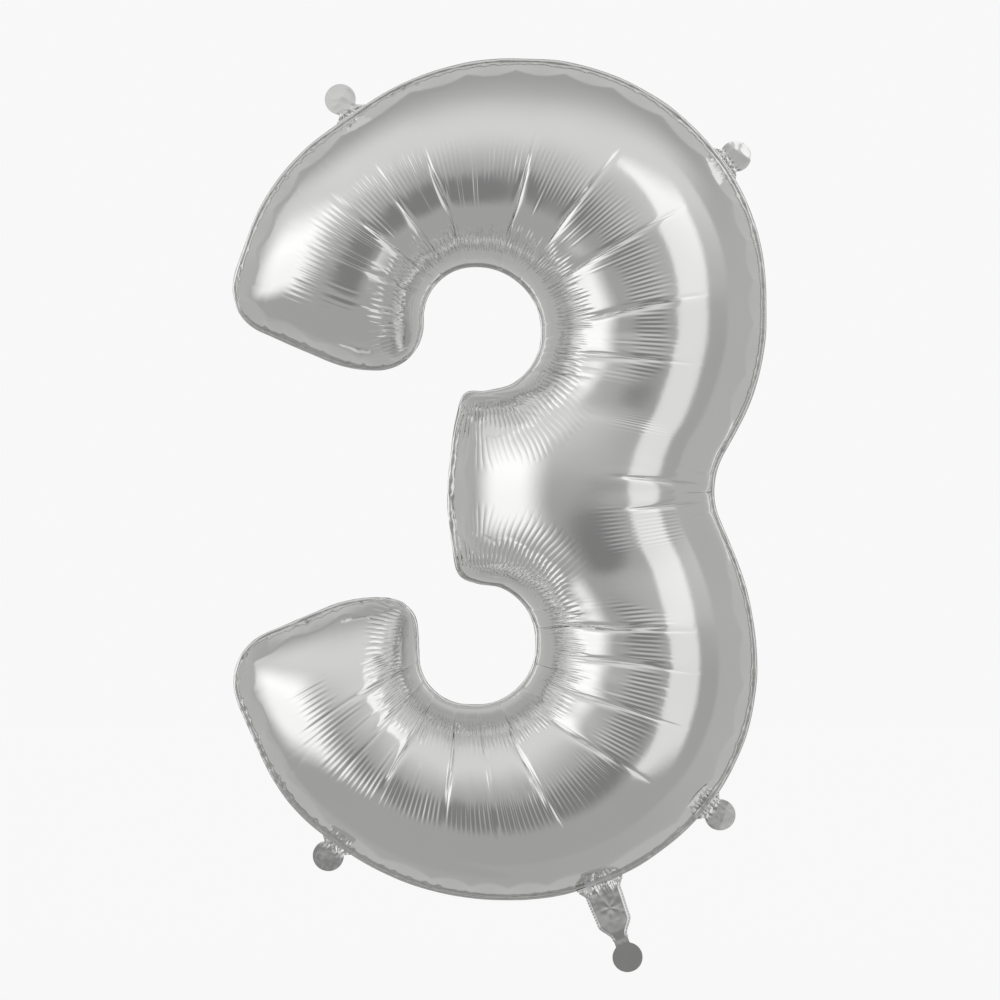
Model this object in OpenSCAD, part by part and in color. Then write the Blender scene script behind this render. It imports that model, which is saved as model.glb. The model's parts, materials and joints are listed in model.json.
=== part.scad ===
// Foil number balloon in the shape of the figure 3: two films fused round their
// edge and inflated, four hanging tabs on the edge, and a flat filling tail with
// a one-way valve. The figure stands in the XZ plane and its front faces -Y.

/* [Envelope] */
// Height of the inflated figure from edge to edge
figure_h = 866; // [600:2:1000]
// Front-to-back depth at the crest of the tube
crest_depth = 204; // [120:2:216]
// Distance over which a closed end of the tube rounds off
end_round = 105; // [60:5:140]

/* [Film] */
// Thickness of one film
film_t = 0.2; // [0.1:0.05:0.3]
// Width of the fused band round the edge
seam_w = 3.2; // [2:0.2:6]
// Slot that stands for the crease line where a flap folds
flex_gap = 0.8; // [0.6:0.1:1.2]

/* [Hanging tabs] */
// Diameter of a hanging tab's round end
tab_d = 32; // [28:1:40]
// Width of a hanging tab's neck at the edge of the envelope
tab_neck_w = 19; // [12:1:22]

/* [Tail] */
// Width of the tail across its welds
tail_w = 37; // [30:1:44]
// Width of the tail where it meets the envelope
tail_root_w = 50; // [46:1:60]
// Length of the tail from the envelope to its narrow neck
tail_neck_s = 61; // [55:1:80]
// Width of the narrow neck
tail_neck_w = 15; // [10:1:20]
// Diameter of the tail's round end
tail_end_d = 31; // [26:1:36]
// Width of each side weld of the tail
tail_weld_w = 3; // [2:0.5:4]

/* [Valve] */
// Width of the valve films
valve_w = 28; // [22:1:30]
// Length of the valve films inside the envelope
valve_len = 95; // [60:5:110]

/* [Hidden] */

silver = [0.80, 0.80, 0.79];
weld_silver = [0.70, 0.70, 0.70];
valve_clear = [0.86, 0.88, 0.90];
coat_grey = [0.45, 0.46, 0.48];

// Corners of the outline as [x, z, radius of the arc that rounds it], clockwise
// from the upper terminal's left flank. drawn_h is the height they are drawn at.
drawn_h = 866;
k = figure_h / drawn_h;
corners = [
    [-237, 354, 215],   //  0 upper flank
    [-68, 473, 268],    //  1 top
    [131, 469, 246],
    [274, 327, 238],
    [275, 143, 240],    //  4 above the waist
    [212, 31, 80],      //  5 waist notch
    [265, -92, 300],
    [265, -247, 230],
    [122, -396, 262],   //  8 bottom
    [-92, -394, 290],
    [-224, -296, 200],  // 10 lower flank
    [-292, -141, 56],   // 11 lower tip
    [-148, -81, 130],
    [-85, -86, 33],     // 13 lower terminal's inner corner
    [-80, -193, 50],    // 14 lower bay
    [37, -193, 60],
    [37, -69, 58],
    [-41, -69, 18],     // 17 end of the middle arm
    [-57, 10, 260],
    [-42, 129, 17],
    [43, 129, 59],      // 20 upper bay
    [42, 256, 66],
    [-77, 256, 52],
    [-79, 150, 48],     // 23 upper terminal's inner corner
    [-154, 150, 130],
    [-287, 207, 50]     // 25 upper tip
];
n_corners = len(corners);

// Ribs run across the tube from the inner edge to the outer edge. Each pair is a
// place on the inner edge and the matching place on the outer edge, counted in
// corners: 4.5 is halfway along the edge from corner 4's middle to corner 5's.
rib_pairs = [
    [26, 0], [25.4, 0.2], [25, 0.4], [24.5, 0.52], [24, 0.6], [23.5, 0.68],
    [23, 0.75], [22.5, 0.85], [22, 1.05], [21.5, 1.4], [21.2, 1.8], [21, 2.2],
    [20.75, 2.8], [20.5, 3.4], [20.2, 3.85], [19.8, 4.25], [19.2, 4.6], [18, 5],
    [16.85, 5.4], [16.2, 5.75], [15.8, 6.1], [15.5, 6.6], [15.25, 7.1],
    [15, 7.7], [14.8, 8.1], [14.5, 8.6], [14, 8.95], [13.5, 9.15], [13, 9.27],
    [12.5, 9.34], [12, 9.42], [11.5, 9.5], [11, 9.62], [10.6, 9.8], [10, 10]
];
rib_count = 112;
section_steps = 10;
end_crowding = 0.6;

// Hanging tabs: [place on the outline, distance of the disc's centre from it]
tab_upper_left = [0.5, 19.4];
tab_upper_right = [2.74, 13.2];
tab_lower_left = [9.57, 14.1];
tab_lower_right = [7.34, 14.8];
tail_place = 8.05;
tail_layer_y = 0.4;
tail_end_overlap = 4;
valve_layer_y = 0.1;
coat_size = [20, 60];
coat_start_s = 6;

// ---- outline ----

function unit(v) = v / norm(v);
function wrap(i) = (i % n_corners + n_corners) % n_corners;
function turn(a) = (a % 360 + 540) % 360 - 180;

// One rounded corner: [centre, radius, start angle, sweep, start point, end point]
function rounded(i) =
    let (p = k * [corners[i][0], corners[i][1]],
         before = corners[wrap(i - 1)],
         after = corners[wrap(i + 1)],
         a = unit(k * [before[0], before[1]] - p),
         b = unit(k * [after[0], after[1]] - p),
         half = acos(a * b) / 2,
         r = k * corners[i][2],
         start = p + a * r / tan(half),
         end = p + b * r / tan(half),
         centre = p + unit(a + b) * r / sin(half),
         from = atan2(start[1] - centre[1], start[0] - centre[0]),
         to = atan2(end[1] - centre[1], end[0] - centre[0]))
    [centre, r, from, turn(to - from), start, end];
arcs = [for (i = [0 : n_corners - 1]) rounded(i)];

function arc_length(c) = abs(c[3]) * c[1] * PI / 180;
function arc_spot(c, f) = let (a = c[2] + c[3] * f, out = [cos(a), sin(a)])
    [c[0] + c[1] * out, c[3] < 0 ? out : -out];

// The point and the outward normal at place q on the outline
function spot(q) =
    let (i = floor(q),
         c1 = arcs[wrap(i)],
         c2 = arcs[wrap(i + 1)],
         l1 = arc_length(c1) / 2,
         l2 = norm(c2[4] - c1[5]),
         l3 = arc_length(c2) / 2,
         w = (q - i) * (l1 + l2 + l3))
    w <= l1 ? arc_spot(c1, 0.5 + 0.5 * w / l1)
    : w >= l1 + l2 ? arc_spot(c2, 0.5 * (w - l1 - l2) / l3)
    : [c1[5] + (c2[4] - c1[5]) * (w - l1) / l2, arc_spot(c1, 1)[1]];

// A point of the outline moved inward by inset
function edge_at(q, inset = 0) = let (s = spot(q)) s[0] - inset * s[1];

// ---- ribs ----

rib_mid = [for (p = rib_pairs) (edge_at(p[0]) + edge_at(p[1])) / 2];
function run_to(i) = i == 0 ? 0 : run_to(i - 1) + norm(rib_mid[i] - rib_mid[i - 1]);
run = [for (i = [0 : len(rib_pairs) - 1]) run_to(i)];
run_len = run[len(run) - 1];
inner_by_run = [for (i = [0 : len(run) - 1]) [run[i], rib_pairs[i][0]]];
outer_by_run = [for (i = [0 : len(run) - 1]) [run[i], rib_pairs[i][1]]];

// Distance along the tube of rib i: the ribs crowd together at both closed ends
function rib_run(i) = let (t = i / rib_count)
    run_len * (t - end_crowding * sin(360 * t) / (2 * PI));
function inner_place(i) = lookup(rib_run(i), inner_by_run);
function outer_place(i) = lookup(rib_run(i), outer_by_run);
function end_rise(i) =
    let (s = min(rib_run(i), run_len - rib_run(i)),
         f = 1 - min(1, s / end_round))
    sqrt(1 - f * f);

// ---- films ----

// One rib's half section, from the inner edge over the crest to the outer edge
function section(i, side, inset, crest) =
    let (a = edge_at(inner_place(i), inset),
         b = edge_at(outer_place(i), inset),
         h = crest * end_rise(i))
    [for (j = [0 : section_steps])
        let (phi = 180 * j / section_steps,
             p = a + (b - a) * (1 - cos(phi)) / 2)
        [p[0], side * h * sin(phi), p[1]]];

function flat3(p) = [p[0], 0, p[1]];
function surface_points(side, inset, crest) = concat(
    [flat3(edge_at(rib_pairs[0][0], inset))],
    [for (i = [1 : rib_count - 1]) each section(i, side, inset, crest)],
    [flat3(edge_at(rib_pairs[len(rib_pairs) - 1][0], inset))]);

row = section_steps + 1;
skin_size = 2 + (rib_count - 1) * row;
last_rib = rib_count - 1;
function at(i, j) = 1 + (i - 1) * row + j;

skin_faces = concat(
    [for (j = [0 : section_steps - 1]) [0, at(1, j), at(1, j + 1)]],
    [for (i = [1 : last_rib - 1], j = [0 : section_steps - 1])
        each [[at(i, j), at(i + 1, j), at(i + 1, j + 1)],
              [at(i, j), at(i + 1, j + 1), at(i, j + 1)]]],
    [for (j = [0 : section_steps - 1])
        [at(last_rib, j), skin_size - 1, at(last_rib, j + 1)]]);

rim = concat([0], [for (i = [1 : last_rib]) at(i, 0)], [skin_size - 1],
             [for (i = [last_rib : -1 : 1]) at(i, section_steps)]);
rim_faces = [for (i = [0 : len(rim) - 1])
    let (p = rim[i], q = rim[(i + 1) % len(rim)])
    each [[p, p + skin_size, q + skin_size], [p, q + skin_size, q]]];

function reversed(faces) = [for (f = faces) [f[2], f[1], f[0]]];
function inner_skin(faces) = [for (f = faces) [for (v = f) v + skin_size]];

module film(side) {
    faces = concat(skin_faces, reversed(inner_skin(skin_faces)), rim_faces);
    polyhedron(
        concat(surface_points(side, seam_w, crest_depth / 2),
               surface_points(side, seam_w + film_t, crest_depth / 2 - film_t)),
        side < 0 ? reversed(faces) : faces);
}

module front_foil() color(silver) film(-1);
module back_foil() color(silver) film(1);

// ---- fused edge ----

// A plate in the XZ plane, thickness t, centred on the seam plane
module plate(t) rotate([90, 0, 0]) linear_extrude(t, center = true) children();

// The outline at each rib's two ends, moved inward by inset
function ring(inset) = concat(
    [edge_at(rib_pairs[0][0], inset)],
    [for (i = [1 : last_rib]) edge_at(outer_place(i), inset)],
    [edge_at(rib_pairs[len(rib_pairs) - 1][0], inset)],
    [for (i = [last_rib : -1 : 1]) edge_at(inner_place(i), inset)]);

// The frame at place q: +Y of the children points straight out of the outline
module on_edge(q) {
    s = spot(q);
    translate([s[0][0], s[0][1]])
        rotate(atan2(s[1][1], s[1][0]) - 90)
            children();
}

module perimeter_seam() color(weld_silver) plate(2 * film_t) difference() {
    polygon(ring(0));
    polygon(ring(seam_w));
    on_edge(tail_place) square([valve_w + 2, 3 * seam_w], center = true);
}

// ---- hanging tabs ----

module hang_tab(place) color(silver) plate(2 * film_t) on_edge(place[0])
    difference() {
        union() {
            translate([0, place[1]]) circle(d = tab_d, $fn = 64);
            translate([-tab_neck_w / 2, 0]) square([tab_neck_w, place[1]]);
        }
        translate([0, flex_gap - tab_d]) square(2 * tab_d, center = true);
    }

module hang_tab_upper_left() hang_tab(tab_upper_left);
module hang_tab_upper_right() hang_tab(tab_upper_right);
module hang_tab_lower_left() hang_tab(tab_lower_left);
module hang_tab_lower_right() hang_tab(tab_lower_right);

// ---- tail ----

// Half widths of the tail at distances from the envelope
tail_sides = [[flex_gap, tail_root_w / 2], [8, tail_w / 2], [42, tail_w / 2],
              [53, tail_w / 2 - 5], [tail_neck_s, tail_neck_w / 2]];
module tail_shape(inset = 0) polygon(concat(
    [for (p = tail_sides) [p[1] - inset, p[0]]],
    [for (i = [len(tail_sides) - 1 : -1 : 0])
        [inset - tail_sides[i][1], tail_sides[i][0]]]));

// A tail layer: a plate whose middle is at depth y
module tail_layer(y, t) translate([0, y, 0]) plate(t) on_edge(tail_place)
    children();

module tail_front_foil() color(silver) tail_layer(-tail_layer_y, film_t) tail_shape();
module tail_back_foil() color(silver) tail_layer(tail_layer_y, film_t) tail_shape();
module tail_side_welds() color(weld_silver)
    tail_layer(0, 2 * tail_layer_y - film_t) difference() {
        tail_shape();
        tail_shape(tail_weld_w);
    }

end_centre_s = tail_neck_s + tail_end_overlap + tail_end_d / 2;
module tail_end_tab() color(silver) tail_layer(0, 2 * film_t) {
    translate([0, end_centre_s]) circle(d = tail_end_d, $fn = 64);
    translate([-tail_neck_w / 2, tail_neck_s + flex_gap])
        square([tail_neck_w, end_centre_s - tail_neck_s - flex_gap]);
}

// ---- valve ----

module valve_film(side) color(valve_clear)
    tail_layer(side * (valve_layer_y + film_t / 2), film_t)
        translate([-valve_w / 2, -valve_len]) square([valve_w, valve_len]);
module valve_front_film() valve_film(-1);
module valve_back_film() valve_film(1);
module valve_release_coat() color(coat_grey) tail_layer(0, 2 * valve_layer_y)
    translate([-coat_size[0] / 2, -coat_start_s - coat_size[1]]) square(coat_size);

front_foil();
back_foil();
perimeter_seam();
hang_tab_upper_left();
hang_tab_upper_right();
hang_tab_lower_left();
hang_tab_lower_right();
tail_front_foil();
tail_back_foil();
tail_side_welds();
tail_end_tab();
valve_front_film();
valve_back_film();
valve_release_coat();
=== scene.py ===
"""A silver foil number balloon, inflated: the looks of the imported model."""
import json
import math
import bpy
import numpy as np
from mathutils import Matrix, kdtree


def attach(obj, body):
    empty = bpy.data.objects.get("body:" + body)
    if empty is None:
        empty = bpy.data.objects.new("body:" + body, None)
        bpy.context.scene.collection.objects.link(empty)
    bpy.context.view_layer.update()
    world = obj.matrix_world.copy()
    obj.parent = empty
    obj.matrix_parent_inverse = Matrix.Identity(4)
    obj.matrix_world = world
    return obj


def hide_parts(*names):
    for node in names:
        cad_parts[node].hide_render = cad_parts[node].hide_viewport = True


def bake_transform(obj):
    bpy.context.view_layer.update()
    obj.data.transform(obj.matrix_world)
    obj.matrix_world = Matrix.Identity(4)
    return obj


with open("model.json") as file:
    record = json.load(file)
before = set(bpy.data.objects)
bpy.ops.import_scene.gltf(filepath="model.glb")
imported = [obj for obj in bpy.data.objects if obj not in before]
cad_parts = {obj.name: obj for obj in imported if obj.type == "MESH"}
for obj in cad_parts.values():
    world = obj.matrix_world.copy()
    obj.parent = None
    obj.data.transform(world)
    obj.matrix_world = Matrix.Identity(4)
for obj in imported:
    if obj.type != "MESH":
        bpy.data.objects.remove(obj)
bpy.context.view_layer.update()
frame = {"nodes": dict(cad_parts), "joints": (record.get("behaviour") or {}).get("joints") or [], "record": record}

scene = bpy.context.scene
nodes = frame["nodes"]
joints = {j["name"]: j for j in frame["joints"]}

UPPER_BAY = np.array([-0.022, 0.190])      # middles of the two round bays, x and z
LOWER_BAY = np.array([-0.026, -0.130])
BAYS = ((UPPER_BAY, -1.0), (LOWER_BAY, 1.0))     # and whether the middle arm is below or above
WAIST_Z = 0.022                            # height of the waist in the outer edge
# Directions of the long creases from each bay, in degrees from +X
CREASES = [(UPPER_BAY, (165, 152, 136, 121, 105.7, 72.6, 51.3, 31, 8.7, -10)),
           (LOWER_BAY, (5, -7, -22.4, -38.6, -63.8, -82.7, -100, -122.5, -136.3, -154))]
RIM_COUNT = 6000                           # points round the film's edge
# Lines across the tube, from end to end: inner x and z, outer x and z, chosen and moved
# to the nearest point of the film's edge. They run straight out from each bay, and spread from
# the end of the middle arm to the waist.
RIBS = [
    (-0.074, 0.158, -0.277, 0.207), (-0.079, 0.190, -0.272, 0.245), (-0.077, 0.227, -0.253, 0.285),
    (-0.070, 0.250, -0.212, 0.352), (-0.034, 0.262, -0.099, 0.438), (0.006, 0.262, 0.063, 0.461),
    (0.032, 0.252, 0.180, 0.425), (0.042, 0.236, 0.247, 0.345), (0.045, 0.199, 0.271, 0.236),
    (0.043, 0.176, 0.268, 0.142), (0.020, 0.140, 0.252, 0.100), (-0.025, 0.128, 0.235, 0.068),
    (-0.052, 0.085, 0.225, 0.046), (-0.056, 0.031, 0.220, 0.027), (-0.050, -0.030, 0.223, 0.006),
    (-0.025, -0.070, 0.231, -0.018), (0.018, -0.076, 0.244, -0.055), (0.037, -0.112, 0.258, -0.105),
    (0.037, -0.137, 0.262, -0.166), (0.033, -0.168, 0.252, -0.238), (0.020, -0.185, 0.200, -0.312),
    (0.000, -0.195, 0.092, -0.384), (-0.026, -0.196, 0.001, -0.391), (-0.052, -0.194, -0.082, -0.382),
    (-0.072, -0.180, -0.168, -0.334), (-0.080, -0.160, -0.230, -0.285), (-0.084, -0.130, -0.262, -0.215),
    (-0.080, -0.094, -0.278, -0.142)]
WELD = 0.0032                              # width of the welded edge
CREST = 0.1045                             # highest point of each film over the seam
ROUNDING = 0.112                           # no film rises past this before it's scaled to CREST
# How a film settles, from a coarse grid to a fine one: columns, rows, rounds and stiffness
LEVELS = ((300, 36, 500, 0.03), (600, 54, 300, 0.02), (1300, 76, 130, 0.01))
PLEAT = np.array([-1.0, 0.45, 0.8, 0.45])  # one pleat of a comb, over four columns
SCALLOP = 0.056                            # length of one scallop of the flat band by the seam
SEAM_COUNT = 2400                          # points round the welded edge
# The welded edge cut across: share of its width out from the film, and height
SEAM_SECTION = ((-0.15, 0.00010), (0.25, 0.00016), (1.0, 0.00010),
                (1.0, -0.00010), (0.25, -0.00016), (-0.15, -0.00010))
TAIL_WELD_SECTION = ((0, -0.0002), (0.5, -0.00042), (1, -0.0002),
                     (1, 0.0002), (0.5, 0.00042), (0, 0.0002))

# ---------------------------------------------------------------- camera

camera = bpy.data.objects.new("camera", bpy.data.cameras.new("camera"))
scene.collection.objects.link(camera)
scene.camera = camera
camera.data.lens = 210
camera.data.sensor_width = 36
camera.data.clip_end = 100
camera.location = (0.0005, -6.0, 0.0169)
camera.rotation_euler = (math.pi / 2, 0, 0)

# ---------------------------------------------------------------- small tools


def step(a, b, x):
    """0 at a, 1 at b, smooth between."""
    t = np.clip((x - a) / (b - a), 0, 1)
    return t * t * (3 - 2 * t)


def spline(p, t):
    """Catmull-Rom through the rows of p at fractional row numbers t."""
    q = np.concatenate([2 * p[:1] - p[1:2], p, 2 * p[-1:] - p[-2:-1]])
    i = np.clip(np.floor(t).astype(int), 0, len(p) - 2)
    f = (t - i).reshape(-1, *[1] * (p.ndim - 1))
    a, b, c, d = q[i], q[i + 1], q[i + 2], q[i + 3]
    return 0.5 * (2 * b + (c - a) * f + (2 * a - 5 * b + 4 * c - d) * f**2
                  + (3 * b - a - 3 * c + d) * f**3)


def resample(grid, nu, nv):
    """The grid at nu + 1 by nv + 1 points."""
    g = spline(grid, np.linspace(0, grid.shape[0] - 1, nu + 1))
    g = spline(np.swapaxes(g, 0, 1), np.linspace(0, grid.shape[1] - 1, nv + 1))
    return np.swapaxes(g, 0, 1)


def smooth(v, n):
    """Running mean over n rows either side."""
    p = np.concatenate([np.repeat(v[:1], n, 0), v, np.repeat(v[-1:], n, 0)])
    c = np.cumsum(np.concatenate([np.zeros_like(p[:1]), p]), axis=0)
    return (c[2 * n + 1:] - c[:-2 * n - 1]) / (2 * n + 1)


def run_length(points):
    """Distance along a line of points, from 0 at the first."""
    return np.concatenate([[0], np.linalg.norm(np.diff(points, axis=0), axis=1).cumsum()])


def grid_faces(rows, columns):
    """The point numbers of a grid, and its four-sided faces."""
    i = np.arange(rows * columns).reshape(rows, columns)
    return i, np.stack([i[:-1, :-1], i[1:, :-1], i[1:, 1:], i[:-1, 1:]], -1).reshape(-1, 4)


def bay_distance(point):
    """How far a place, x and z, is from the middle of the nearer bay."""
    return np.minimum(*[np.linalg.norm(point - bay, axis=-1) for bay, _ in BAYS])


def noise(x, y, seed):
    """Smooth noise from -1 to 1 with features about 1 across."""
    def at(i, j):
        h = np.sin(i * 127.1 + j * 311.7 + seed * 74.7) * 43758.5453
        return 2 * (h - np.floor(h)) - 1
    i, j = np.floor(x), np.floor(y)
    u, v = x - i, y - j
    u, v = u * u * (3 - 2 * u), v * v * (3 - 2 * v)
    low = at(i, j) * (1 - u) + at(i + 1, j) * u
    high = at(i, j + 1) * (1 - u) + at(i + 1, j + 1) * u
    return low * (1 - v) + high * v


def ridges(x, y, seed):
    """Noise with sharp valleys, as film has when it is creased: 0 in a crease, up to 1 between."""
    return np.abs(noise(x, y, seed)) + 0.5 * np.abs(noise(2.1 * x, 2.1 * y, seed + 5))


def mesh_object(name, verts, faces, material, body=None):
    """A smooth-shaded piece, which rides on the body if one is named."""
    mesh = bpy.data.meshes.new(name)
    mesh.from_pydata([tuple(v) for v in verts], [], faces)
    mesh.shade_smooth()
    mesh.materials.append(material)
    obj = bpy.data.objects.new(name, mesh)
    scene.collection.objects.link(obj)
    if body:
        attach(obj, body)
    return obj


# ---------------------------------------------------------------- materials


def node(tree, kind, inputs=(), **settings):
    """A new shader node; each input is a number, a colour or another node's output."""
    n = tree.nodes.new("ShaderNode" + kind)
    for key, value in settings.items():
        setattr(n, key, value)
    for key, value in dict(inputs).items():
        if hasattr(value, "is_output"):
            tree.links.new(value, n.inputs[key])
        else:
            n.inputs[key].default_value = value
    return n


def maths(tree):
    """Two short ways to add nodes that work out a number."""
    def calc(kind, *values):
        n = node(tree, "Math", operation=kind)
        for socket, value in zip(n.inputs, values):
            if hasattr(value, "is_output"):
                tree.links.new(value, socket)
            else:
                socket.default_value = value
        return n.outputs[0]

    def ramp(value, a, b):      # 0 at a, 1 at b, smooth between
        return node(tree, "MapRange", {"Value": value, "From Min": a, "From Max": b},
                    interpolation_type="SMOOTHSTEP").outputs["Result"]
    return calc, ramp


def crinkles(tree, where):
    """Height in metres of the small creases that fan out from each bay."""
    calc, ramp = maths(tree)
    axes = node(tree, "SeparateXYZ", {"Vector": where})
    rough = node(tree, "TexNoise", {"Vector": where, "Scale": 75.0, "Detail": 2.0}).outputs["Fac"]
    patch = node(tree, "TexNoise", {"Vector": where, "Scale": 30.0, "Detail": 0.0}).outputs["Fac"]
    height = 0.0
    for bay, arm_side in BAYS:
        u = calc("SUBTRACT", axes.outputs["X"], float(bay[0]))
        v = calc("MULTIPLY", calc("SUBTRACT", axes.outputs["Z"], float(bay[1])), arm_side)
        r = calc("SQRT", calc("ADD", calc("MULTIPLY", u, u), calc("MULTIPLY", v, v)))
        r = calc("ADD", r, calc("MULTIPLY", calc("SUBTRACT", rough, 0.5), 0.016))
        angle = calc("MULTIPLY", calc("ARCTAN2", v, u), 180 / math.pi)
        turn = calc("ADD", calc("MULTIPLY", angle, math.pi / 2.7), calc("MULTIPLY", patch, 3.5))
        fold = calc("ABSOLUTE", calc("SINE", turn))
        arm = calc("MULTIPLY", ramp(angle, 5, 30), ramp(angle, 124, 114))
        ring = calc("MULTIPLY", ramp(r, 0.074, 0.082), ramp(r, 0.117, 0.101))
        comb = calc("MULTIPLY", calc("MULTIPLY", ramp(r, 0.106, 0.112), ramp(r, 0.150, 0.132)),
                    calc("MULTIPLY", ramp(angle, 30, 48), ramp(angle, 118, 104)))
        size = calc("MULTIPLY", ring, calc("ADD", 0.00042, calc("MULTIPLY", arm, 0.00060)))
        size = calc("MULTIPLY", size, ramp(patch, 0.20, 0.50))
        size = calc("ADD", size, calc("MULTIPLY", comb, 0.00020))
        height = calc("ADD", height, calc("MULTIPLY", fold, size))
    return height


def film_material(name, tone, rough, grain, fine):
    """Metallised film: bright, with soft streaks and a slight haze where it was creased."""
    m = bpy.data.materials.new(name)
    m.use_nodes = True
    t = m.node_tree
    shader = t.nodes["Principled BSDF"]
    shader.inputs["Metallic"].default_value = 1.0
    where = node(t, "TexCoord").outputs["Object"]
    cloud = node(t, "TexNoise", {"Vector": where, "Scale": 9.0, "Detail": 4.0})
    speck = node(t, "TexNoise", {"Vector": where, "Scale": fine, "Detail": 3.0})
    colour = node(t, "ValToRGB", {"Fac": cloud.outputs["Fac"]})
    low, high = colour.color_ramp.elements
    low.position, high.position = 0.3, 0.7
    low.color = (*[c * 0.97 for c in tone], 1)
    high.color = (*tone, 1)
    t.links.new(colour.outputs["Color"], shader.inputs["Base Color"])
    haze = node(t, "MapRange", {"Value": cloud.outputs["Fac"], "From Min": 0.35, "From Max": 0.7,
                                "To Min": rough * 0.8, "To Max": rough * 1.25})
    t.links.new(haze.outputs["Result"], shader.inputs["Roughness"])
    creased = node(t, "Bump", {"Height": crinkles(t, where), "Strength": 1.0, "Distance": 1.0})
    bump = node(t, "Bump", {"Height": speck.outputs["Fac"], "Strength": grain, "Distance": 0.0004,
                            "Normal": creased.outputs["Normal"]})
    t.links.new(bump.outputs["Normal"], shader.inputs["Normal"])
    return m


def plastic_material(name, tone, rough, scale, clear=0.0):
    """Plain plastic film with a faint cloudiness, and a clear coat if asked."""
    m = bpy.data.materials.new(name)
    m.use_nodes = True
    t = m.node_tree
    shader = t.nodes["Principled BSDF"]
    where = node(t, "TexCoord").outputs["Object"]
    cloud = node(t, "TexNoise", {"Vector": where, "Scale": scale, "Detail": 5.0})
    colour = node(t, "ValToRGB", {"Fac": cloud.outputs["Fac"]})
    low, high = colour.color_ramp.elements
    low.color = (*[c * 0.86 for c in tone], 1)
    high.color = (*tone, 1)
    t.links.new(colour.outputs["Color"], shader.inputs["Base Color"])
    shader.inputs["Roughness"].default_value = rough
    shader.inputs["Coat Weight"].default_value = clear
    bump = node(t, "Bump", {"Height": cloud.outputs["Fac"], "Strength": 0.25, "Distance": 0.0003})
    t.links.new(bump.outputs["Normal"], shader.inputs["Normal"])
    return m


silver = film_material("silver_film", (0.86, 0.86, 0.855), 0.11, 0.10, 160.0)
fused = film_material("fused_film", (0.82, 0.82, 0.81), 0.17, 0.25, 420.0)
valve = plastic_material("valve_film", (0.80, 0.82, 0.84), 0.22, 90.0, 0.3)
coat = plastic_material("valve_coat", (0.62, 0.66, 0.70), 0.6, 240.0)

# ---------------------------------------------------------------- the film's edge and grid


def cad_rim(mesh):
    """The closed edge of the CAD film in the plane of the seam, as x and z, evenly spaced."""
    co = np.zeros(len(mesh.vertices) * 3)
    mesh.vertices.foreach_get("co", co)
    tri = np.zeros(len(mesh.polygons) * 3, np.int32)
    mesh.polygons.foreach_get("vertices", tri)
    key, index = np.unique(np.round(co.reshape(-1, 3) * 1e6).astype(np.int64), axis=0,
                           return_inverse=True)
    pts = key / 1e6
    tri = index.reshape(-1)[tri.reshape(-1, 3)]
    in_rim = (np.abs(pts[:, 1]) < 2e-6)[tri].all(1)

    def edges(t):
        e = np.vstack([t[:, [0, 1]], t[:, [1, 2]], t[:, [2, 0]]])
        return set(map(tuple, np.sort(e, axis=1)))
    near = {}
    for a, b in edges(tri[in_rim]) & edges(tri[~in_rim]):
        near.setdefault(a, []).append(b)
        near.setdefault(b, []).append(a)
    loops, left = [], set(near)
    while left:
        loop = [min(left)]
        while loop[-1] is not None:
            left.discard(loop[-1])
            loop.append(next((n for n in near[loop[-1]] if n in left), None))
        loops.append(loop[:-1])
    loop = pts[max(loops, key=lambda l: np.ptp(pts[l], axis=0).sum())][:, [0, 2]]
    p = spline(np.concatenate([loop[-3:], loop, loop[:4]]), 3 + np.arange(0, len(loop), 0.05))
    s = run_length(p)
    even = np.arange(RIM_COUNT) * s[-1] / RIM_COUNT
    p = np.stack([np.interp(even, s, p[:, 0]), np.interp(even, s, p[:, 1])], axis=1)
    turn = (p[:, 0] * np.roll(p[:, 1], -1) - np.roll(p[:, 0], -1) * p[:, 1]).sum()
    return p[::-1] if turn > 0 else p       # clockwise, seen from the front


rim = cad_rim(nodes["front_foil"].data)
RIM_STEP = np.linalg.norm(np.diff(rim, axis=0), axis=1).mean()


def rim_place(point):
    """Number of the edge's nearest point."""
    return int(((rim - point) ** 2).sum(1).argmin())


def rim_run(places):
    """The same places, unwrapped so that they only grow or only shrink."""
    out = [places[0]]
    for p in places[1:]:
        out.append(out[-1] + (p - out[-1] + RIM_COUNT // 2) % RIM_COUNT - RIM_COUNT // 2)
    return np.array(out, float)


def rim_at(t):
    """The place at fractional point number t of the edge."""
    t = np.asarray(t) % RIM_COUNT
    i = t.astype(int)
    f = (t - i)[..., None]
    return rim[i % RIM_COUNT] * (1 - f) + rim[(i + 1) % RIM_COUNT] * f


def nearest_rim(plan):
    """Where along the edge the nearest place is, and how far off."""
    tree = kdtree.KDTree(RIM_COUNT)
    for k, (px, pz) in enumerate(rim.tolist()):
        tree.insert((px, 0, pz), k)
    tree.balance()
    found = [tree.find((px, 0, pz)) for px, pz in plan.reshape(-1, 2).tolist()]
    place = np.array([f[1] for f in found], float).reshape(plan.shape[:2])
    return place, np.array([f[2] for f in found]).reshape(plan.shape[:2])


STEPS = np.arange(801.0)                   # even steps along the tube, for edge_runs


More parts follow.
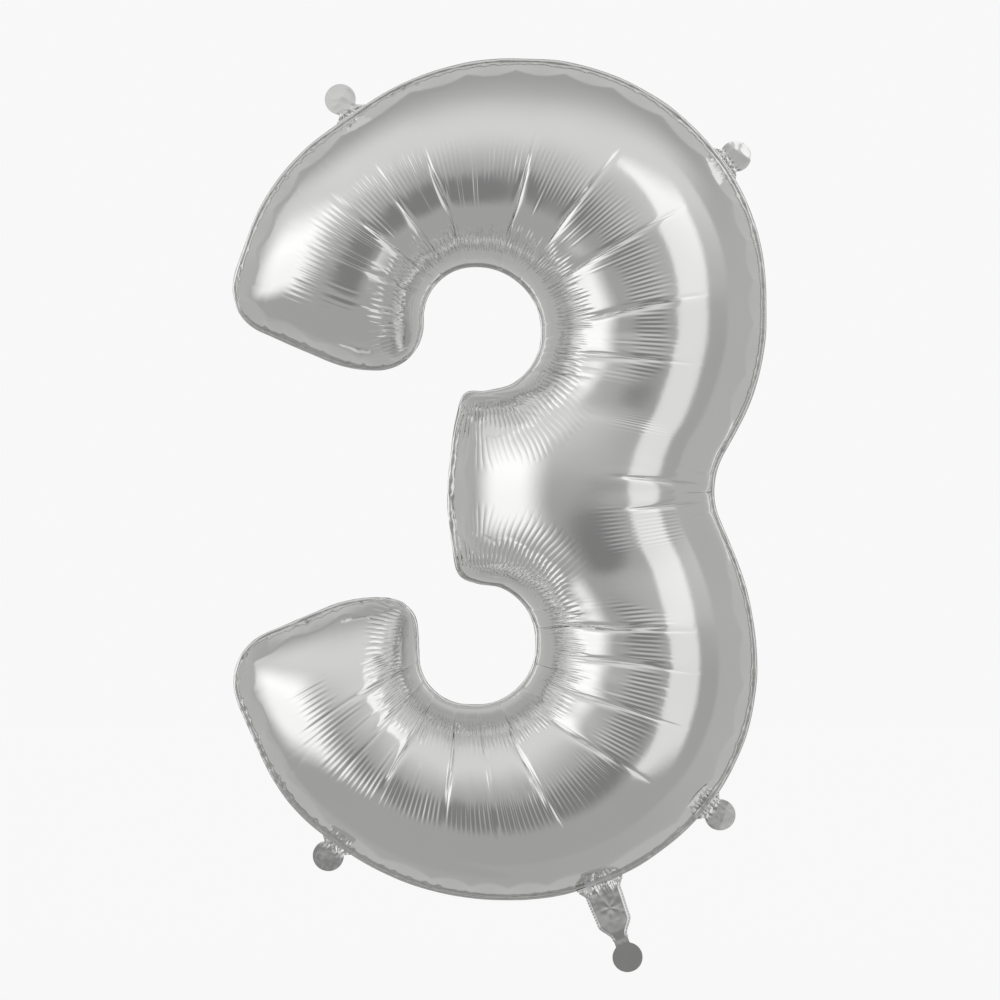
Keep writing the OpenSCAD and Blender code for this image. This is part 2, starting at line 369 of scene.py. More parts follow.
def edge_runs():
    """Distance along the tube, and where on its inner and outer edge each step's line ends."""
    inner = rim_run([rim_place(p[:2]) for p in RIBS])
    outer = rim_run([rim_place(p[2:]) for p in RIBS])
    at_rib = run_length((rim_at(inner) + rim_at(outer)) / 2)
    along = np.linspace(0, at_rib[-1], len(STEPS))
    runs = []
    for places, column in ((inner, 0), (outer, 2)):
        run = smooth(np.interp(along, at_rib, places), 22)
        for k, share in ((0, step(120, 0, STEPS)), (-1, step(680, 800, STEPS))):
            want = rim_place(RIBS[k][column:column + 2])      # the smoothing keeps both ends
            gap = (want - run[k] + RIM_COUNT // 2) % RIM_COUNT - RIM_COUNT // 2
            run += gap * share
        runs.append(run)
    return along, *runs


tube_run, inner_run, outer_run = edge_runs()


def flat_grid(nu, nv):
    """Points of the film laid flat, nu + 1 columns along the tube and nv + 1 rows across it."""
    a, b = rim_at(inner_run), rim_at(outer_run)
    d = np.linalg.norm(np.diff(a, axis=0), axis=1) + np.linalg.norm(np.diff(b, axis=0), axis=1)
    d = smooth(d, 12)
    s = np.concatenate([[0], np.cumsum(d + 0.25 * d.mean())])
    t = np.interp(np.linspace(0, s[-1], nu + 1), s, STEPS)
    a = rim_at(np.interp(t, STEPS, inner_run))
    b = rim_at(np.interp(t, STEPS, outer_run))
    phi = np.linspace(0, np.pi, nv + 1)
    f = ((1 - np.cos(phi)) / 2)[None, :, None]
    p = a[:, None] * (1 - f) + b[:, None] * f
    run = np.interp(t, STEPS, tube_run)
    for k, far in ((0, run), (-1, tube_run[-1] - run)):      # the last ribs lie along the closed ends
        x0, x1 = inner_run[k], outer_run[k]
        x1 = x0 + (x1 - x0 + RIM_COUNT / 2) % RIM_COUNT - RIM_COUNT / 2
        edge = rim_at(x0 + (x1 - x0) * f[0, :, 0])
        p += (edge - p[k])[None] * (np.exp(-far / 0.045) * step(0.16, 0.10, far))[:, None, None]
    return p, phi


def inflate(flat):
    """Squared height of a film blown up over the flat grid: a membrane pinned all round."""
    a, b, c, d = grid_faces(*flat.shape[:2])[1].T
    tri = np.vstack([np.stack([a, b, c], 1), np.stack([a, c, d], 1)])
    p = flat.reshape(-1, 2)
    one, two, weight = [], [], []
    mass = np.zeros(len(p))
    for k in range(3):
        o, u, v = tri[:, k], tri[:, (k + 1) % 3], tri[:, (k + 2) % 3]
        x, y = p[u] - p[o], p[v] - p[o]
        area = np.abs(x[:, 0] * y[:, 1] - x[:, 1] * y[:, 0]) + 1e-9
        one.append(u)
        two.append(v)
        weight.append(0.5 * (x * y).sum(1) / area)
        mass += np.bincount(o, area / 6, len(p))
    one, two, weight = np.concatenate(one), np.concatenate(two), np.concatenate(weight)
    free = np.zeros(flat.shape[:2], bool)
    free[1:-1, 1:-1] = True
    free = free.ravel()

    def stiff(w):
        flow = weight * (w[one] - w[two])
        return (np.bincount(one, flow, len(w)) - np.bincount(two, flow, len(w))) * free
    diagonal = np.bincount(one, weight, len(p)) + np.bincount(two, weight, len(p)) + 1e-9
    w = np.zeros(len(p))
    r = mass * free
    z = r / diagonal
    way = z.copy()
    for _ in range(900):
        q = stiff(way)
        size = (r * z).sum()
        alpha = size / (way * q).sum()
        w += alpha * way
        r -= alpha * q
        z = r / diagonal
        way = z + way * (r * z).sum() / size
    return np.maximum(2 * w, 0).reshape(flat.shape[:2])


height_squared = inflate(flat_grid(300, 40)[0])


def start_shape(nu, nv):
    """The film before it wrinkles; y is the height over the seam on either side."""
    flat, phi = flat_grid(nu, nv)
    h = np.sqrt(np.maximum(resample(height_squared, nu, nv), 0))
    h = h / (1 + (h / ROUNDING) ** 6) ** (1 / 6)
    h[[0, -1]] = 0
    h[:, [0, -1]] = 0
    return np.stack([flat[..., 0], h, flat[..., 1]], axis=-1), phi


def spare_length(shape, phi):
    """How much longer than its place each stretch of film along the tube is."""
    a, b = shape[:, 0][:, [0, 2]], shape[:, -1][:, [0, 2]]
    nu = len(a) - 1
    near = smooth(np.linalg.norm(np.diff(a, axis=0), axis=1), nu // 80)[:, None]
    far = smooth(np.linalg.norm(np.diff(b, axis=0), axis=1), nu // 80)[:, None]
    ratio = (near + (far - near) * phi / np.pi) / (near + (far - near) * (1 - np.cos(phi)) / 2)
    a, b = ((a[1:] + a[:-1]) / 2)[:, None], ((b[1:] + b[:-1]) / 2)[:, None]
    waist = step(0.17, 0.21, b[..., 0]) * step(0.20, 0.15, np.abs(b[..., 1] - 0.03))
    beyond = step(0.5, 0.52, phi / np.pi)
    spare = (np.clip(ratio, 1, 1.25) - 1) * (1 - beyond * (1 - waist))
    least = 0.10 * step(0.085, 0.072, bay_distance(a)) * np.sin(np.clip(phi / np.pi / 0.56, 0, 1) * np.pi)
    i = np.arange(nu)[:, None] / nu
    arm = step(0.090, 0.055, np.abs(b[..., 1] - 0.024))     # the arm stays smooth
    spare, least = spare * (1 - 0.6 * arm * (1 - waist * beyond)), least * (1 - arm)
    return 1 + np.maximum(0.9 * spare, least) * step(0.0, 0.03, i) * step(1.0, 0.97, i)


def columns_at(shape, bay, angles):
    """The columns whose middle lies in these directions from the bay."""
    m = shape[:, shape.shape[1] // 2][:, [0, 2]] - bay
    way = np.degrees(np.arctan2(m[:, 1], m[:, 0]))
    for angle in angles:
        off = np.abs((way - angle + 180) % 360 - 180)
        off[np.linalg.norm(m, axis=1) > 0.2] = 999
        yield int(off.argmin())


def outward(shape):
    """Directions straight out of the film, away from the seam."""
    n = np.cross(np.gradient(shape, axis=0), np.gradient(shape, axis=1))
    n /= np.linalg.norm(n, axis=-1, keepdims=True) + 1e-12
    return n * np.sign(n[..., 1].sum())


def pull(x, a, b, length, k):
    """Moves the edges from x[a] to x[b] towards their length."""
    p, q = x[a], x[b]
    d = q - p
    n = np.sqrt((d * d).sum(-1)) + 1e-9
    d *= ((n - length) / n * (0.5 * k))[..., None]
    x[a] = p + d
    x[b] = q - d


def relax(x, rim_way, lengths, rounds, push, bend):
    """Settles the film under pressure: it can't stretch, so the spare length wrinkles."""
    along, across, slant_a, slant_b = lengths
    nu, nv = x.shape[0] - 1, x.shape[1] - 1
    rim, ends, before = x[:, [0, -1]].copy(), x[[0, -1]].copy(), x.copy()
    turn = 0
    every = slice(None)
    for _ in range(rounds):
        du, dv = np.zeros_like(x), np.zeros_like(x)
        du[1:-1] = x[2:] - x[:-2]
        dv[:, 1:-1] = x[:, 2:] - x[:, :-2]
        n = np.cross(du, dv)
        n /= (np.sqrt((n * n).sum(-1)) + 1e-12)[..., None]
        turn = turn or np.sign(n[..., 1].sum())
        x, before = x + np.float32(0.5) * (x - before) + np.float32(push * turn) * n, x
        m = 0.5 * (x[2:] + x[:-2]) - x[1:-1]
        x[1:-1] += bend * m
        x[2:] -= 0.5 * bend * m
        x[:-2] -= 0.5 * bend * m
        m = 0.5 * (x[:, 2:] + x[:, :-2]) - x[:, 1:-1]
        x[:, 1:-1] += 0.03 * m
        x[:, 2:] -= 0.015 * m
        x[:, :-2] -= 0.015 * m
        for s in (0, 1):
            one, two = slice(s, nu, 2), slice(s + 1, nu + 1, 2)
            pull(x, one, two, along[s::2], 1.0)
            pull(x, (every, slice(s, nv, 2)), (every, slice(s + 1, nv + 1, 2)),
                 across[:, s::2], 1.0)
            pull(x, (one, slice(0, -1)), (two, slice(1, None)), slant_a[s::2], 0.35)
            pull(x, (one, slice(1, None)), (two, slice(0, -1)), slant_b[s::2], 0.35)
        for side in (0, 1):    # the film doesn't hang out past its own seam
            way = rim_way[side]
            over = ((x - rim[:, side][:, None]) * way[:, None]).sum(-1) + np.float32(0.0003)
            x -= np.maximum(over, 0)[..., None] * way[:, None]
        # nor past its two closed ends
        for side, part in ((0, slice(0, nu // 14)), (1, slice(-nu // 14, None))):
            way = rim_way[2 + side]
            over = ((x[part] - ends[side][None]) * way[None]).sum(-1) + np.float32(0.0003)
            x[part] -= np.maximum(over, 0)[..., None] * way[None]
        np.maximum(x[..., 1], 0, out=x[..., 1])
        x[:, [0, -1]] = rim
        x[[0, -1]] = ends
    return x


def rim_ways(shape):
    """Outward directions in the plane of the seam: inner edge, outer edge and the two ends."""
    out = []
    for grid, inside in ((shape, (-1, 0)), (np.swapaxes(shape, 0, 1), (3, -4))):
        for row, other in zip((0, -1), inside):
            t = np.gradient(grid[:, row], axis=0)
            n = np.stack([t[:, 2], 0 * t[:, 0], -t[:, 0]], axis=1)
            n /= np.linalg.norm(n, axis=1, keepdims=True) + 1e-12
            away = grid[:, row] - grid[:, other]
            n *= np.sign((n * away).sum(1))[:, None]
            out.append(n.astype(np.float32))
    return out


def rest_lengths(shape, spare):
    """Length of every edge of the grid: along, across and on both slants."""
    along = np.linalg.norm(shape[1:] - shape[:-1], axis=-1)
    across = np.linalg.norm(shape[:, 1:] - shape[:, :-1], axis=-1)
    long = along * spare
    mid = (along[:, 1:] + along[:, :-1]) / 2
    mid_long = (long[:, 1:] + long[:, :-1]) / 2
    mid_across = (across[1:] + across[:-1]) / 2
    out = [long, across]
    for u, v in (((slice(1, None), slice(1, None)), (slice(0, -1), slice(0, -1))),
                 ((slice(1, None), slice(0, -1)), (slice(0, -1), slice(1, None)))):
        d = ((shape[u] - shape[v]) ** 2).sum(-1) - mid**2 - mid_across**2
        d *= mid_long / np.maximum(mid, 1e-9)
        out.append(np.sqrt(np.maximum(mid_long**2 + mid_across**2 + d, 1e-12)))
    return [q.astype(np.float32) for q in out]


def crease_seeds(shape, phi, rng):
    """Small dents that start the long creases, and unevenness between them."""
    s = np.linalg.norm(np.diff(shape, axis=0), axis=-1).cumsum(axis=0)
    s = np.concatenate([np.zeros((1, s.shape[1])), s])
    window = step(0.06, 0.18, phi / np.pi) * step(0.66, 0.56, phi / np.pi)
    dent = rng.normal(size=s.shape) * 0.0004
    for bay, angles in CREASES:
        for column in columns_at(shape, bay, angles):
            dent -= 0.006 * np.exp(-0.5 * ((s - s[column]) / 0.005) ** 2) * window
    moved = outward(shape) * dent[..., None]
    moved[[0, -1]] = 0
    moved[:, [0, -1]] = 0
    return moved


def wrinkled_film(seed):
    """One film, blown up, with the long creases and the pleats between them."""
    moved = None
    for nu, nv, rounds, bend in LEVELS:
        shape, phi = start_shape(nu, nv)
        if moved is None:
            moved = crease_seeds(shape, phi, np.random.default_rng(seed))
        else:
            moved = resample(moved, nu, nv)
        x = relax((shape + moved).astype(np.float32), rim_ways(shape),
                  rest_lengths(shape, spare_length(shape, phi)), rounds, 2e-5 * 300 / nu,
                  np.float32(bend))
        moved = x.astype(float) - shape
    return shape + moved, shape, phi


def add_bay_folds(dent, shape, bay, arm_side, rng, seed):
    """A comb of narrow pleats over the crest, and a ring of crinkles close to the bay."""
    nu = shape.shape[0] - 1
    i = np.arange(nu + 1)
    inner = shape[:, 0][:, [0, 2]]
    way = np.degrees(np.arctan2((inner - bay)[:, 1] * arm_side, (inner - bay)[:, 0]))
    by_bay = step(0.088, 0.074, np.linalg.norm(inner - bay, axis=1))
    by_arm = step(20, 45, way)[:, None]      # here the folds fade and the comb is nearer
    r = np.linalg.norm(shape[..., [0, 2]] - bay, axis=-1)
    start = 0.150 + 0.012 * rng.random(nu) - 0.03 * (rng.random(nu) > 0.88)
    end = 0.188 + 0.014 * rng.random(nu)
    size = 0.00019 + 0.00016 * rng.random(nu)
    start, end, size = [q[i // len(PLEAT)][:, None] for q in (start, end, size)]
    start, end = start - 0.040 * by_arm, end - 0.048 * by_arm
    comb = step(start - 0.004, start + 0.008, r) * step(end + 0.003, end - 0.012, r)
    dent += comb * size * (PLEAT[i % len(PLEAT)] * by_bay)[:, None] * (1 - by_arm)

    def uneven(columns, k):      # noise that changes over this many columns
        return noise(i / columns, i * 0.0, seed + k)[:, None]
    turn = (2 * np.pi * i / 5.0)[:, None] + 2.2 * uneven(9.0, 0)
    sharp = np.abs(np.sin(turn / 2 + 18 * (r - 0.09) * uneven(6.0, 1)))
    ring = step(0.076, 0.090, r + 0.004 * uneven(7.0, 2))
    ring = ring * step(0.114, 0.100, r + 0.006 * uneven(5.0, 3))
    deep = 0.0009 + 0.0010 * (0.5 + 0.5 * uneven(11.0, 4))
    dent += ring * by_bay[:, None] * (sharp - 0.6) * deep * (1 - 0.85 * by_arm)


def add_waist_pleats(dent, shape, phi, seed):
    """Groups of narrow pleats that run in from the waist."""
    i = np.arange(len(shape))
    outer = shape[:, -1][:, [0, 2]]
    waist = step(0.19, 0.215, outer[:, 0]) * step(0.075, 0.045, np.abs(outer[:, 1] - WAIST_Z))
    groups = step(0.1, 0.6, noise(i / 31.0, i * 0.0, seed + 6))
    window = step(0.52, 0.57, phi / np.pi) * step(0.80, 0.70, phi / np.pi)
    dent += (waist * groups * PLEAT[i % len(PLEAT)])[:, None] * window * 0.00016


def add_sharp_folds(dent, shape, phi):
    """A sharp fold along each long crease, as deep as this share of the columns' spacing."""
    apart = np.linalg.norm(np.gradient(shape, axis=0), axis=-1)
    window = step(0.05, 0.12, phi / np.pi) * step(0.66, 0.58, phi / np.pi)
    for bay, angles in CREASES:
        for column in columns_at(shape, bay, angles):
            for k, deep in ((-2, 0.06), (-1, 0.16), (0, 0.50), (1, 0.16), (2, 0.06)):
                dent[column + k] -= deep * apart[column] * window


def add_seam_puckers(dent, shape, rng):
    """Puckers along the seam outside the bays, larger towards the figure's two ends."""
    plan = shape[..., [0, 2]]
    for row in (0, -1):
        edge = plan[:, row]
        s = run_length(edge)
        reach = np.linalg.norm(plan - edge[:, None], axis=-1)
        place = 0.0
        while place < s[-1]:
            place += 0.009 + 0.013 * rng.random()
            at = np.array([np.interp(place, s, edge[:, 0]), np.interp(place, s, edge[:, 1])])
            by_end = at[0] < -0.06
            depth = (0.0014 if by_end else 0.0006) * (0.4 + rng.random())
            depth *= bay_distance(at) >= 0.085
            long = (0.008 if by_end else 0.005) * (0.6 + 1.2 * rng.random())
            lean = (rng.random() - 0.5) * 0.6
            off = np.abs(s[:, None] - place + lean * reach) / 0.0022
            dent -= depth * np.exp(-off**1.3) * step(0, 0.0015, reach) * np.exp(-reach / long)


def add_end_puckers(dent, shape, rng):
    """Puckers across the two closed ends of the tube, where one row makes one pucker."""
    plan = shape[..., [0, 2]]
    nu = len(plan) - 1
    i = np.arange(nu + 1)
    for end, near in ((0, i < nu // 10), (-1, i > nu - nu // 10)):
        s = np.linalg.norm(np.diff(plan[end], axis=0), axis=1).cumsum()
        place = 0.012
        while place < s[-1] - 0.008:
            j = int(np.searchsorted(s, place)) + 1
            reach = np.linalg.norm(plan[:, j] - plan[end, j], axis=-1)
            long = 0.006 + 0.012 * rng.random()
            deep = 0.0016 * (0.4 + rng.random()) * step(0, 0.002, reach)
            dent[:, j] -= deep * np.exp(-reach / long) * near
            place += 0.012 + 0.016 * rng.random()


def flatten_by_seam(film, plan, seed):
    """By the seam the film is pulled flat in a narrow band with a scalloped inner border."""
    place, reach = nearest_rim(plan)
    at = rim_at(place)
    s = place * RIM_STEP / SCALLOP
    turn = np.pi * (s + 0.5 * noise(s / 3, s * 0, seed + 8))
    flat = (0.0125 + 0.0070 * np.abs(np.sin(turn))) * step(0.078, 0.100, bay_distance(at))
    by_waist = step(0.15, 0.19, at[..., 0]) * step(0.09, 0.05, np.abs(at[..., 1] - WAIST_Z))
    flat *= 1 - 0.75 * by_waist
    film[..., 1] *= np.sqrt(np.minimum(reach / np.maximum(flat, 1e-5), 1))


def fine_pleats(film, shape, phi, seed):
    """The film with the folds that are too fine to settle by themselves."""
    rng = np.random.default_rng(seed)
    dent = np.zeros(film.shape[:2])
    for bay, arm_side in BAYS:
        add_bay_folds(dent, shape, bay, arm_side, rng, seed)
    add_waist_pleats(dent, shape, phi, seed)
    add_sharp_folds(dent, shape, phi)
    add_seam_puckers(dent, shape, rng)
    add_end_puckers(dent, shape, rng)
    film = film + outward(film) * dent[..., None]
    flatten_by_seam(film, shape[..., [0, 2]], seed)
    return film


def film_mesh(name, film, side, cad_node):
    """The piece for one film, on side -1 (front) or 1 (back) of the seam."""
    nu, nv = film.shape[0] - 1, film.shape[1] - 1
    v = film.copy()
    v[..., 1] *= side * CREST / film[..., 1].max()
    verts = v.reshape(-1, 3)
    quads = grid_faces(nu + 1, nv + 1)[1]
    a, b, c = verts[quads[nu // 2 * nv + nv // 2, :3]]
    if np.cross(b - a, c - a)[1] * side < 0:
        quads = quads[:, ::-1]
    obj = mesh_object(name, verts, quads.tolist(), silver, "envelope")
    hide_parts(cad_node)


for name, side, seed in (("front_film", -1, 3), ("back_film", 1, 11)):
    film, shape, phi = wrinkled_film(seed)
    film_mesh(name, fine_pleats(film, shape, phi, seed), side, name.replace("film", "foil"))

# ---------------------------------------------------------------- welded edge


def weld_shape():
    """Points and faces of the welded edge, which waves out of its plane away from the film."""
    seam = rim_at(np.arange(SEAM_COUNT) * RIM_COUNT / SEAM_COUNT)
    tangent = np.roll(seam, -2, axis=0) - np.roll(seam, 2, axis=0)
    tangent /= np.linalg.norm(tangent, axis=1, keepdims=True)
    normal = np.stack([-tangent[:, 1], tangent[:, 0]], axis=1)
    s = run_length(seam)
    wave = 0.0007 * noise(s / 0.011, s * 0, 21) + 0.0004 * noise(s / 0.0043, s * 0, 22)
    trim = 1 + 0.10 * noise(s / 0.03, s * 0, 23)       # the outer border isn't cut quite evenly
    verts, faces = [], []
    for share, y in SEAM_SECTION:
        out = WELD * share * (trim if share == 1.0 else np.ones(SEAM_COUNT))
        p = seam + normal * out[:, None]
        verts.append(np.stack([p[:, 0], y + max(share, 0) * wave, p[:, 1]], axis=1))
    for k in range(len(SEAM_SECTION)):
        m = (k + 1) % len(SEAM_SECTION)
        for i in range(SEAM_COUNT):
            j = (i + 1) % SEAM_COUNT
            faces.append((k * SEAM_COUNT + i, k * SEAM_COUNT + j,
                          m * SEAM_COUNT + j, m * SEAM_COUNT + i))
    return np.concatenate(verts), faces


verts, faces = weld_shape()
band = mesh_object("weld_band", verts, faces, fused, "envelope")
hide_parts("perimeter_seam")

# ---------------------------------------------------------------- tabs and tail


def strip(name, base, way, profile, lift, thickness, material, cells):
    """A flat piece of film: profile(s) gives its half width at distance s from base along way.

    lift(s, t, edge) gives its height at t to the side and edge from its border; cells holds the
    first and last s and the number of rows and columns.
    """
    s0, s1, rows, cols = cells
    base, way = np.array(base), np.array(way) / np.linalg.norm(way)
    side = np.array([-way[1], way[0]])
    s = s0 + (s1 - s0) * (1 - np.cos(np.linspace(0, np.pi, rows + 1))) / 2
    t = np.sin(np.linspace(-np.pi / 2, np.pi / 2, cols + 1))
    w = profile(s)
    ss, tt = np.meshgrid(s, t, indexing="ij")
    p = base + ss[..., None] * way + (tt * w[:, None])[..., None] * side
    y = lift(ss, tt * w[:, None], np.maximum(w[:, None], 1e-4) * (1 - np.abs(tt)))
    verts = []
    for sign in (-1, 1):
        verts.append(np.stack([p[..., 0], y + sign * thickness / 2, p[..., 1]], -1).reshape(-1, 3))
    verts = np.concatenate(verts)
    i, q = grid_faces(rows + 1, cols + 1)
    k = i.size
    faces = q.tolist() + (q[:, ::-1] + k).tolist()
    edge = i[0, :].tolist() + i[1:, -1].tolist() + i[-1, -2::-1].tolist() + i[-2:0:-1, 0].tolist()
    faces += [(a, b, b + k, a + k) for a, b in zip(edge, edge[1:] + edge[:1])]
    return mesh_object(name, verts, faces, material), base, way


def disc_profile(root, neck, centre, radius, at):
    """Half width of a round tab: wide at its root, narrow at its neck, then a disc."""
    def profile(s):
        disc = np.sqrt(np.maximum(radius**2 - (s - centre) ** 2, 0))
        stem = neck + (root - neck) * step(at, -0.002, s)
        return np.where(s < centre, np.maximum(disc, stem), disc)
    return profile


def tab_lift(seed, lean, fold):
    """Crumples at the neck that fade out over the disc, a lean and one fold across the disc."""
    def lift(s, t, edge):
        near = step(0.011, 0.001, s)
        y = 0.0014 * near * (ridges(s / 0.006, t / 0.0035, seed) - 0.5)
        y += 0.0003 * (ridges(s / 0.014, t / 0.012, seed + 9) - 0.5)
        y += lean * (np.sqrt(s**2 + 0.005**2) - 0.005) * (s > 0)
        y += fold * np.sqrt((s - 0.019 + 0.35 * t) ** 2 + 0.0008**2)
        return y * step(0, 0.003, s + 0.002)
    return lift


TABS = {   # seed, lean, fold, half width of the root and of the neck
    "upper_left": (31, 0.19, 0.045, 0.019, 0.0105),
    "upper_right": (32, 0.18, 0.075, 0.020, 0.0130),
    "lower_left": (33, 0.13, 0.050, 0.018, 0.0110),
    "lower_right": (34, -0.06, -0.145, 0.018, 0.0115),
}


def record_place(point):
    """x and z of a place in the record."""
    return np.array([point["pos_m"][0], point["pos_m"][2]])


mounts = {m["name"]: m for m in frame["record"]["mounts"]}
for place, (seed, lean, fold, root, neck) in TABS.items():
    hinge = record_place(joints[place + "_tab_fold"])
    way = record_place(mounts[place + "_tab_face"]) - hinge
    far = np.linalg.norm(way)
    tab, base, way = strip("tab_" + place, hinge, way,
                           disc_profile(root, neck, far, 0.016, 0.006),
                           tab_lift(seed, lean, fold), 0.00025, silver,
                           (-0.0030, far + 0.016, 70, 50))
    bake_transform(tab)
    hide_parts("hang_tab_" + place)

hinge, end_hinge = record_place(joints["tail_fold"]), record_place(joints["tail_end_fold"])
way = end_hinge - hinge
neck = np.linalg.norm(way)
disc = np.linalg.norm(record_place(mounts["tail_end_face"]) - hinge)


def tail_profile(s):
    """Half width of the tail: flared at its root, tapered to its narrow neck."""
    wide = 0.0185 + 0.0065 * step(0.009, -0.002, s) - 0.0012 * step(0.012, 0.040, s)
    return wide - (wide - 0.0078) * step(0.040, 0.058, s)


def tail_lift(offset):
    """The tail's film: puckered at the root, creased like a star in its middle."""
    def lift(s, t, edge):
        root = step(0.013, 0.0, s)
        y = 0.0020 * root * (ridges(s / 0.008, t / 0.0035, 41) - 0.5)
        turn = np.arctan2(t - 0.001, s - 0.026)
        off = np.hypot(t - 0.001, s - 0.026)
        y += 0.00040 * np.abs(np.sin(2.5 * turn + 0.6)) * np.exp(-(off / 0.010) ** 2)
        y += 0.0002 * (ridges(s / 0.013, t / 0.012, 44) - 0.5) * step(0.062, 0.045, s)
        open_way = offset * step(0, 0.0035, edge) * step(0.062, 0.050, s)
        return (y + open_way) * step(-0.0025, 0.001, s)
    return lift


for name, offset, cad_node in (("tail_front_film", -0.0009, "tail_front_foil"),
                               ("tail_back_film", 0.0009, "tail_back_foil")):
    ply, base, way = strip(name, hinge, way, tail_profile, tail_lift(offset), 0.00016, silver,
                           (-0.0030, neck - 0.0010, 110, 60))
    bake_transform(ply)
    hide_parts(cad_node)


def tail_weld_shape():
    """Points and faces of the welds down both sides of the tail, one narrow ribbon each."""
    across = np.array([-way[1], way[0]])
    s = np.linspace(0.0012, neck - 0.0012, 90)
    w = tail_profile(s)
    lift = tail_lift(0)
    verts, faces = [], []
    count = len(TAIL_WELD_SECTION)
    for sign in (-1, 1):
        start = len(verts)
        for k in range(len(s)):
            for share, y in TAIL_WELD_SECTION:
                t = sign * (w[k] - 0.0028 + 0.0032 * share)
                bulge = lift(s[k], np.array(t), np.array(0.0)) + 0.00012 * math.sin(k * 1.3)
                p = base + s[k] * way + t * across
                verts.append((p[0], y + float(bulge), p[1]))
        for k in range(len(s) - 1):
            for m in range(count):
                a, b = start + k * count + m, start + k * count + (m + 1) % count
                faces.append((a, b, b + count, a + count)[::sign])
        last = start + count * (len(s) - 1)
        faces.append(tuple(range(start, start + count))[::-sign])
        faces.append(tuple(range(last, last + count))[::sign])
    return verts, faces


verts, faces = tail_weld_shape()
welds = mesh_object("tail_welds", verts, faces, fused)
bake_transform(welds)
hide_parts("tail_side_welds")


def end_profile(s):
    """Half width of the tab on the tail's end: a short stem, then a disc."""
    stem = 0.0075 * (s < disc)
    return np.maximum(np.sqrt(np.maximum(0.0155**2 - (s - disc) ** 2, 0)), stem)


def end_lift(s, t, edge):
    """The disc is nearly smooth and leans back a little."""
    y = 0.0001 * (ridges(s / 0.012, t / 0.011, 47) - 0.5) * step(0, 0.004, edge)
    y = y + 0.14 * np.maximum(s - neck - 0.004, 0)
    return y * step(neck - 0.004, neck + 0.006, s)


tail_end, _, _ = strip("tail_end_disc", hinge, way, end_profile, end_lift, 0.0003, fused,
                       (neck - 0.0045, disc + 0.0155, 60, 44))
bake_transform(tail_end)
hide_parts("tail_end_tab")

# ---------------------------------------------------------------- valve, inside the envelope

for name, material in (("valve_front_film", valve), ("valve_back_film", valve),
                       ("valve_release_coat", coat)):
    nodes[name].data.materials.clear()
    nodes[name].data.materials.append(material)

# ---------------------------------------------------------------- studio

world = bpy.data.worlds.new("studio")
scene.world = world
world.use_nodes = True
tree = world.node_tree
calc, ramp = maths(tree)
way_seen = node(tree, "SeparateXYZ", {"Vector": node(tree, "TexCoord").outputs["Generated"]})
x, y, z = [way_seen.outputs[k] for k in "XYZ"]
azimuth = calc("MULTIPLY", calc("ARCTAN2", x, calc("MULTIPLY", y, -1.0)), 180 / math.pi)
level = calc("MULTIPLY", calc("ARCSINE", z), 180 / math.pi)
# overhead light in front of the object, weaker towards the floor and dark round the camera
light = calc("ADD", 0.40, calc("MULTIPLY", ramp(level, -8, 38), 0.34))
light = calc("SUBTRACT", light, calc("MULTIPLY", ramp(level, 42, 85), 0.22))
above = calc("POWER", calc("MULTIPLY", calc("ADD", level, 20.0), 1.2), 2.0)
dark = ramp(calc("SQRT", calc("ADD", calc("POWER", azimuth, 2.0), above)), 27, 10)
light = calc("SUBTRACT", light, calc("MULTIPLY", dark, 0.17))
# a large soft box either side, lit between these azimuths and levels, and its strength
for left, right, foot, top, strength in (((-99, -66), (-24, -46), (-30, -13), (32, 8), 0.68),
                                         ((22, 26), (56, 49), (-33, -21), (38, 26), 0.42)):
    box = calc("MULTIPLY", ramp(azimuth, *left), ramp(azimuth, *right))
    box = calc("MULTIPLY", box, calc("MULTIPLY", ramp(level, *foot), ramp(level, *top)))
    light = calc("ADD", light, calc("MULTIPLY", box, strength))
# beside and behind the object the room is even; overhead the light fades into it
facing = calc("MULTIPLY", y, -1.0)


def turned_away(a, b):
    """0 where the light comes from a degrees off the object's front, 1 from b degrees."""
    return ramp(facing, math.cos(math.radians(a)), math.cos(math.radians(b)))


front = turned_away(79, 73)
at_left = ramp(azimuth, -20, -50)
further = turned_away(104, 93)
front = calc("ADD", calc("MULTIPLY", further, at_left),
             calc("MULTIPLY", front, calc("SUBTRACT", 1.0, at_left)))
fading = turned_away(112, 62)
overhead = ramp(level, 22, 48)
front = calc("ADD", calc("MULTIPLY", fading, overhead),
             calc("MULTIPLY", front, calc("SUBTRACT", 1.0, overhead)))
rest = calc("SUBTRACT", 0.475, calc("MULTIPLY", ramp(level, -20, -70), 0.05))
rest = calc("SUBTRACT", rest, calc("MULTIPLY", ramp(level, 10, 55), 0.075))
behind = turned_away(130, 152)
rest = calc("ADD", rest, calc("MULTIPLY", behind, 0.03))
# what the back of the object mirrors: darker straight behind, two narrow soft boxes, light above
rest = calc("SUBTRACT", rest, calc("MULTIPLY", 0.20, turned_away(160, 174)))
rest = calc("ADD", rest, calc("MULTIPLY", calc("MULTIPLY", behind, ramp(level, 0, 40)), 0.09))
to_side = calc("ABSOLUTE", azimuth)
box = calc("MULTIPLY", ramp(to_side, 156, 161), ramp(to_side, 175, 167))
box = calc("MULTIPLY", box, calc("MULTIPLY", ramp(level, -18, -10), ramp(level, 18, 10)))
rest = calc("ADD", rest, calc("MULTIPLY", box, 0.34))
light = calc("ADD", calc("MULTIPLY", light, front),
             calc("MULTIPLY", rest, calc("SUBTRACT", 1.0, front)))
background = tree.nodes["Background"]
background.inputs["Color"].default_value = (1.0, 1.0, 0.995, 1)
tree.links.new(light, background.inputs["Strength"])


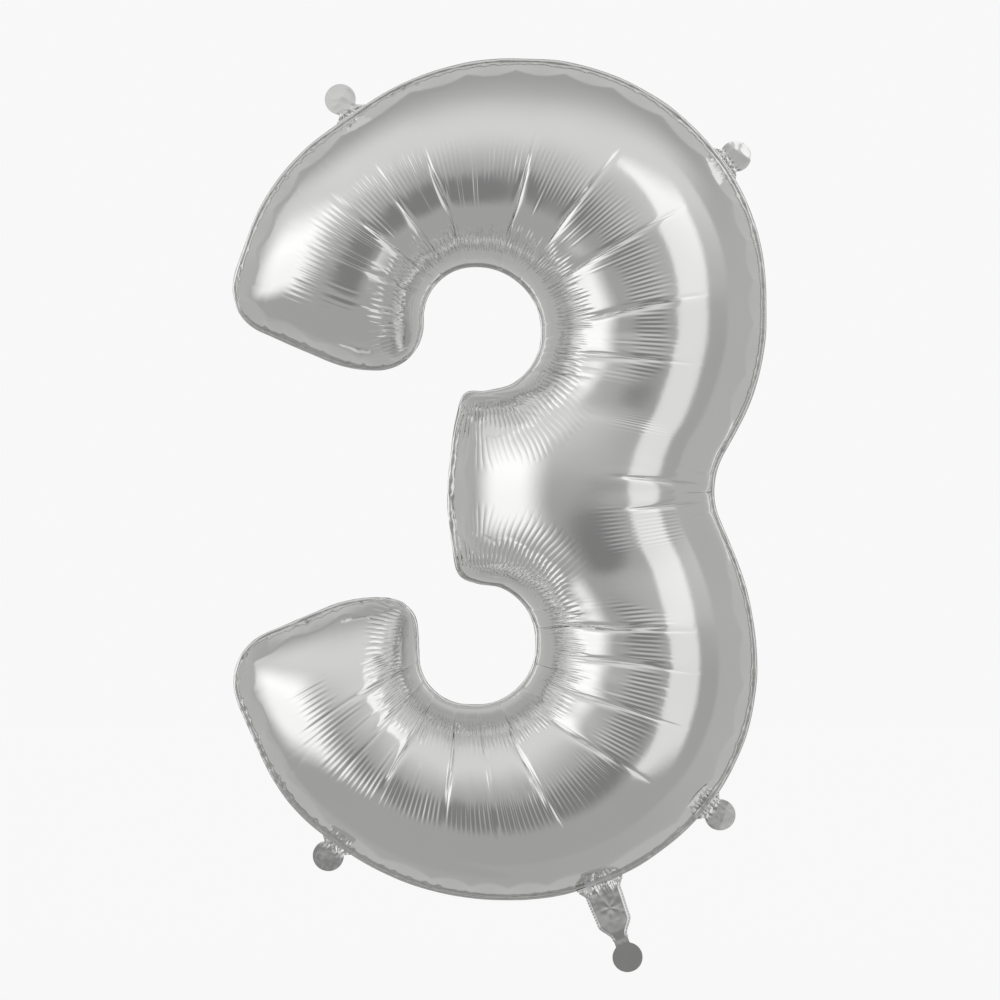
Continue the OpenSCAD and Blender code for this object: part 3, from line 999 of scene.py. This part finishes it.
def glow_material(name, tone, glow):
    """Matt, and lit from within, so that the stage is evenly bright."""
    m = bpy.data.materials.new(name)
    m.use_nodes = True
    shader = m.node_tree.nodes["Principled BSDF"]
    shader.inputs["Base Color"].default_value = (*tone, 1)
    shader.inputs["Roughness"].default_value = 0.9
    shader.inputs["Specular IOR Level"].default_value = 0.0
    shader.inputs["Emission Color"].default_value = (1, 1, 1, 1)
    shader.inputs["Emission Strength"].default_value = glow
    return m


def stage_disc(name, radius, height, material, rings, sides=96):
    """A flat round floor."""
    verts = [(0, 0, height)]
    faces = []
    for k in range(1, rings + 1):
        for a in range(sides):
            turn, out = 2 * math.pi * a / sides, radius * k / rings
            verts.append((out * math.cos(turn), out * math.sin(turn), height))
    for a in range(sides):
        b = (a + 1) % sides
        faces.append((0, 1 + a, 1 + b))
        for k in range(rings - 1):
            p = 1 + k * sides
            faces.append((p + a, p + sides + a, p + sides + b, p + b))
    return mesh_object(name, verts, faces, material)


def stage_dome(name, radius, material, rings=32, sides=64):
    """A closed backdrop all round; its faces are flat."""
    verts, faces = [], []
    for k in range(rings + 1):
        for a in range(sides):
            lat, lon = math.pi * (k / rings - 0.5), 2 * math.pi * a / sides
            verts.append((radius * math.cos(lat) * math.cos(lon),
                          radius * math.cos(lat) * math.sin(lon), radius * math.sin(lat)))
    for k in range(rings):
        for a in range(sides):
            b, low, high = (a + 1) % sides, k * sides, (k + 1) * sides
            faces.append((low + a, low + b, high + b, high + a))
    mesh = bpy.data.meshes.new(name)
    mesh.from_pydata(verts, [], faces)
    mesh.materials.append(material)
    obj = bpy.data.objects.new(name, mesh)
    scene.collection.objects.link(obj)
    return obj


floor = stage_disc("floor", 9.0, -0.56, glow_material("floor", (0.22, 0.22, 0.22), 0.818), 3)
dome = stage_dome("backdrop", 20, glow_material("backdrop", (0, 0, 0), 0.94))
for stage in (floor, dome):
    stage.visible_glossy = False
    stage.visible_diffuse = False
    stage.visible_transmission = False
    stage.visible_shadow = False

scene.view_settings.view_transform = "Standard"
